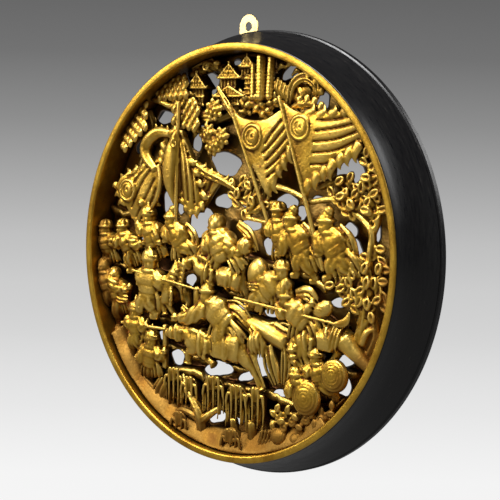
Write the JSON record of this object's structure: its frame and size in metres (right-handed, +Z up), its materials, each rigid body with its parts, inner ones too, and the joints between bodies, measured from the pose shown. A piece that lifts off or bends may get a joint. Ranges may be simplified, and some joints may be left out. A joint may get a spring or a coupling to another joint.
{
  "type": "relief roundel",
  "caption": "Pierced, carved and gilded wooden roundel with a battle scene in a black lacquered hoop, with a brass wall hanger.",
  "frame": {"origin": "the wall side of the hanger plate, on its centre line between the eye and the screws", "axes": "+Z up, +X to the right seen from the front, the front faces -Y and the wall is the plane y = 0"},
  "size_m": [0.44, 0.0574, 0.4573],
  "materials": {
    "giltwood": "worn burnished gilding over red bole",
    "black_lacquer": "black lacquer with a gilded front edge",
    "brass": "lightly tarnished"
  },
  "bodies": {
    "root": {"frame_hoop": "black_lacquer", "relief_panel": "giltwood", "hanger_plate": "brass", "screw_left": "brass", "screw_right": "brass"}
  },
  "joints": []
}
